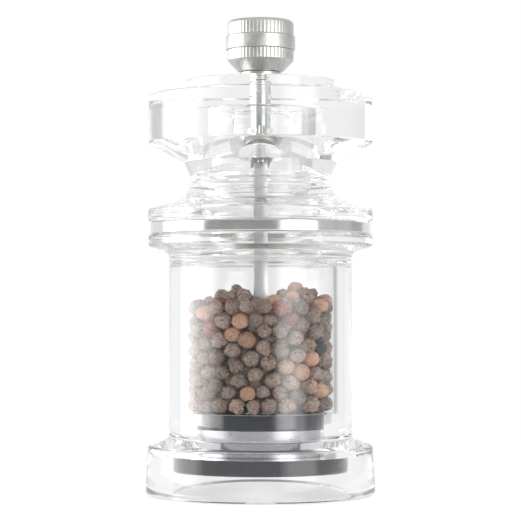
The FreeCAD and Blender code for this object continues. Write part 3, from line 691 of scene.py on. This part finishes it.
def berry_shapes(level, kinds, rng):
    """Unit peppercorn shapes: spheres with shrunken, folded skins."""
    shapes = []
    for _ in range(kinds):
        bm = bmesh.new()
        bmesh.ops.create_icosphere(bm, subdivisions=level, radius=1.0)
        points = np.array([v.co for v in bm.verts])
        faces = [[v.index for v in face.verts] for face in bm.faces]
        bm.free()
        folds = rng.normal(size=(FOLDS, 3))
        folds /= np.linalg.norm(folds, axis=1)[:, None]
        lift = np.zeros(len(points))
        for direction in folds:
            across = points @ direction
            offset = rng.uniform(-FOLD_REACH, FOLD_REACH)
            lift -= rng.uniform(*FOLD_DEPTHS) * np.exp(-((across - offset) / FOLD_WIDTH) ** 2)
        shapes.append((points, 1.0 + lift, faces))
    return shapes


# Each kind's material, weight in the mix and depth of the skin's folds.
KINDS = {
    "dark": (PEPPER_DARK, 0.42, 1.0), "brown": (PEPPER_BROWN, 0.38, 1.0),
    "tan": (PEPPER_TAN, 0.12, 0.35), "red": (PEPPER_RED, 0.04, 1.0),
    "slate": (PEPPER_SLATE, 0.01, 0.35)}
SHAPES = 5
SEEN_RADIUS = 16.0
SEEN_HEIGHT = 54.0

centres, radii = settled_fill()
rng = np.random.default_rng(11)
# The sixth fine shape isn't used; it is made because the draws after it follow from it.
fine_shapes = berry_shapes(3, SHAPES + 1, rng)
plain_shapes = berry_shapes(2, SHAPES, rng)
names = list(KINDS)
chances = np.array([weight for _, weight, _ in KINDS.values()])
chosen = rng.choice(len(names), size=CORNS, p=chances / chances.sum())
groups = {name: ([], []) for name in names}
for centre, radius, choice in zip(centres, radii, chosen):
    name = names[choice]
    wrinkled = KINDS[name][2]
    seen_well = math.hypot(centre[0], centre[1]) > SEEN_RADIUS or centre[2] > SEEN_HEIGHT
    points, lift, faces = (fine_shapes if seen_well else plain_shapes)[rng.integers(SHAPES)]
    shaped = points * (1 + (lift - 1) * wrinkled)[:, None]
    shaped = shaped * rng.uniform(*STRETCHES, 3)
    spin = np.linalg.qr(rng.normal(size=(3, 3)))[0]
    verts, polys = groups[name]
    start = len(verts)
    verts.extend(((shaped @ spin) * radius + centre) * MM)
    polys.extend([[start + k for k in face] for face in faces])
for name, (verts, polys) in groups.items():
    mesh = bpy.data.meshes.new("peppercorns_" + name)
    mesh.from_pydata([tuple(v) for v in verts], [], polys)
    mesh.polygons.foreach_set("use_smooth", [True] * len(mesh.polygons))
    mesh.materials.append(KINDS[name][0])
    obj = bpy.data.objects.new("peppercorns_" + name, mesh)
    bpy.context.scene.collection.objects.link(obj)
    place(obj, "base", "peppercorn")
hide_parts("peppercorns")

# ------------------------------------------------------------------ CAD nodes kept
looks = {
    "mechanism_flange": PLASTIC, "inlet_ring": PLASTIC,
    "stator_ring": GRINDER, "rotor": GRINDER,
    "retaining_bar": BRUSHED, "rotor_washer": BRUSHED, "spring_washer_top": BRUSHED,
    "drive_plate": PLATE, "rotor_clip": SPRING,
    "retaining_bar_screws": SCREWS, "drive_plate_screws": SCREWS,
    "knob_insert": BRASS}
for name, material in looks.items():
    for material_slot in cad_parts[name].material_slots:
        material_slot.material = material

# ------------------------------------------------------------------ brightness levels
BACK = 0.94
SOFTBOX = 3.6
FRONT = 0.36
RIGHT = 0.62
FLAG = 0.48
CEILING = 0.7
STRENGTH = 4.5

# ------------------------------------------------------------------ floor, its glow dimmed near the mill as painted shade
FLOOR_RADIUS = 0.26
FLOOR_GAP = 0.0003
SHADE_START = 0.030
SHADE_END = 0.045

bm = bmesh.new()
bmesh.ops.create_circle(bm, cap_ends=True, segments=96, radius=FLOOR_RADIUS)
floor_material, nodes, shader = new_material("pale_floor")
shader.inputs["Roughness"].default_value = 0.9
shader.inputs["Specular IOR Level"].default_value = 0.1
shader.inputs["Emission Color"].default_value = (1, 1, 1, 1)
from_centre = nodes.texture_position()
far = nodes.add("ShaderNodeVectorMath", operation="LENGTH")
nodes.link(from_centre, far.inputs[0])
# Painted shade: the floor glows fully far from the mill, and its glow falls to 0.55 near and under
# the mill's foot, where the floor turns diffuse white instead.
away = nodes.spread(far.outputs["Value"], 0.0, 1.0, SHADE_START, SHADE_END)
nodes.link(nodes.ramp(away, [(0.0, grey(0.90)), (1.0, grey(0.0))]), shader.inputs["Base Color"])
glow = nodes.spread(away, 0.55, 1.0, 0.0, 1.0)
directly = nodes.add("ShaderNodeLightPath").outputs["Is Camera Ray"]
dimmed = nodes.add("ShaderNodeMath", operation="MULTIPLY")
nodes.link(glow, dimmed.inputs[0])
nodes.link(nodes.spread(directly, BACK, 1.0, 0.0, 1.0), dimmed.inputs[1])
nodes.link(dimmed.outputs[0], shader.inputs["Emission Strength"])
floor = finish_mesh("floor", bm, floor_material)
floor.location.z = cad_low.z - FLOOR_GAP

# ------------------------------------------------------------------ studio light
world = bpy.data.worlds.new("studio")
bpy.context.scene.world = world
world.use_nodes = True
world.node_tree.nodes.clear()
nodes = Nodes(world.node_tree)
direction = nodes.add("ShaderNodeTexCoord").outputs["Generated"]
split = nodes.add("ShaderNodeSeparateXYZ")
nodes.link(direction, split.inputs["Vector"])
flipped = nodes.add("ShaderNodeMath", operation="MULTIPLY")
flipped.inputs[1].default_value = -1.0
nodes.link(split.outputs["Y"], flipped.inputs[0])
turn = nodes.add("ShaderNodeMath", operation="ARCTAN2")
nodes.link(split.outputs["X"], turn.inputs[0])
nodes.link(flipped.outputs[0], turn.inputs[1])
around = nodes.spread(turn.outputs[0], 0.0, 1.0, -math.pi, math.pi)


def compass(degrees):
    """Where a bearing from the front, positive to the right, lies on the ramp."""
    return (degrees + 180) / 360


# Bearings and their brightness: softboxes at the left and front right, a flag behind right.
WALLS = (
    (-180, BACK), (-122, BACK), (-112, SOFTBOX), (-70, SOFTBOX), (-58, FRONT),
    (18, FRONT), (30, SOFTBOX), (53, SOFTBOX), (62, RIGHT), (104, RIGHT),
    (112, FLAG), (129, FLAG), (136, BACK))
sides = nodes.ramp(around, [
    (compass(bearing), grey(level / STRENGTH)) for bearing, level in WALLS])
up = nodes.spread(split.outputs["Z"], 0.0, 1.0, 0.25, 0.55)
ceiling = nodes.add("ShaderNodeMix", data_type="RGBA")
nodes.link(up, ceiling.inputs["Factor"])
nodes.link(sides, ceiling.inputs["A"])
ceiling.inputs["B"].default_value = (*grey(CEILING / STRENGTH), 1)

# Below the horizon nothing is darker than the back, because the clear pieces show it.
down = nodes.spread(split.outputs["Z"], 0.0, 1.0, -0.07, -0.10)
low_card = nodes.add("ShaderNodeMix", data_type="RGBA", blend_type="LIGHTEN")
nodes.link(down, low_card.inputs["Factor"])
nodes.link(ceiling.outputs["Result"], low_card.inputs["A"])
low_card.inputs["B"].default_value = (*grey(BACK / STRENGTH), 1)
studio = nodes.add("ShaderNodeBackground")
studio.inputs["Strength"].default_value = STRENGTH
nodes.link(low_card.outputs["Result"], studio.inputs["Color"])

# The background that the camera sees directly is plain white.
white = nodes.add("ShaderNodeBackground")
white.inputs["Color"].default_value = (1, 1, 1, 1)
white.inputs["Strength"].default_value = 1.0
seen = nodes.add("ShaderNodeLightPath").outputs["Is Camera Ray"]
mixed = nodes.add("ShaderNodeMixShader")
nodes.link(seen, mixed.inputs["Fac"])
nodes.link(studio.outputs[0], mixed.inputs[1])
nodes.link(white.outputs[0], mixed.inputs[2])
nodes.link(mixed.outputs[0], nodes.add("ShaderNodeOutputWorld").inputs["Surface"])

# ------------------------------------------------------------------ camera
CAMERA_DISTANCE = 0.600
CAMERA_SHARE = 0.40     # of the mill's height
AIM_SHARE = 0.4915      # of the mill's height
SENSOR_WIDTH = 36.0
FRAME_WIDTH = 0.1545
LIGHT_BOUNCES = 40
GLOSSY_BOUNCES = 24

scene = bpy.context.scene
scene.view_settings.view_transform = "Standard"
scene.cycles.max_bounces = LIGHT_BOUNCES
scene.cycles.transmission_bounces = LIGHT_BOUNCES
scene.cycles.glossy_bounces = GLOSSY_BOUNCES
camera_data = bpy.data.cameras.new("camera")
camera = bpy.data.objects.new("camera", camera_data)
scene.collection.objects.link(camera)
scene.camera = camera
camera.location = Vector((0.0, -CAMERA_DISTANCE, HEIGHT * CAMERA_SHARE))
target = Vector((0.0, 0.0, HEIGHT * AIM_SHARE))
camera.rotation_euler = (target - camera.location).to_track_quat("-Z", "Y").to_euler()
camera_data.sensor_width = SENSOR_WIDTH
camera_data.lens = SENSOR_WIDTH * (target - camera.location).length / FRAME_WIDTH
camera_data.clip_start = 0.01
camera_data.clip_end = 20.0
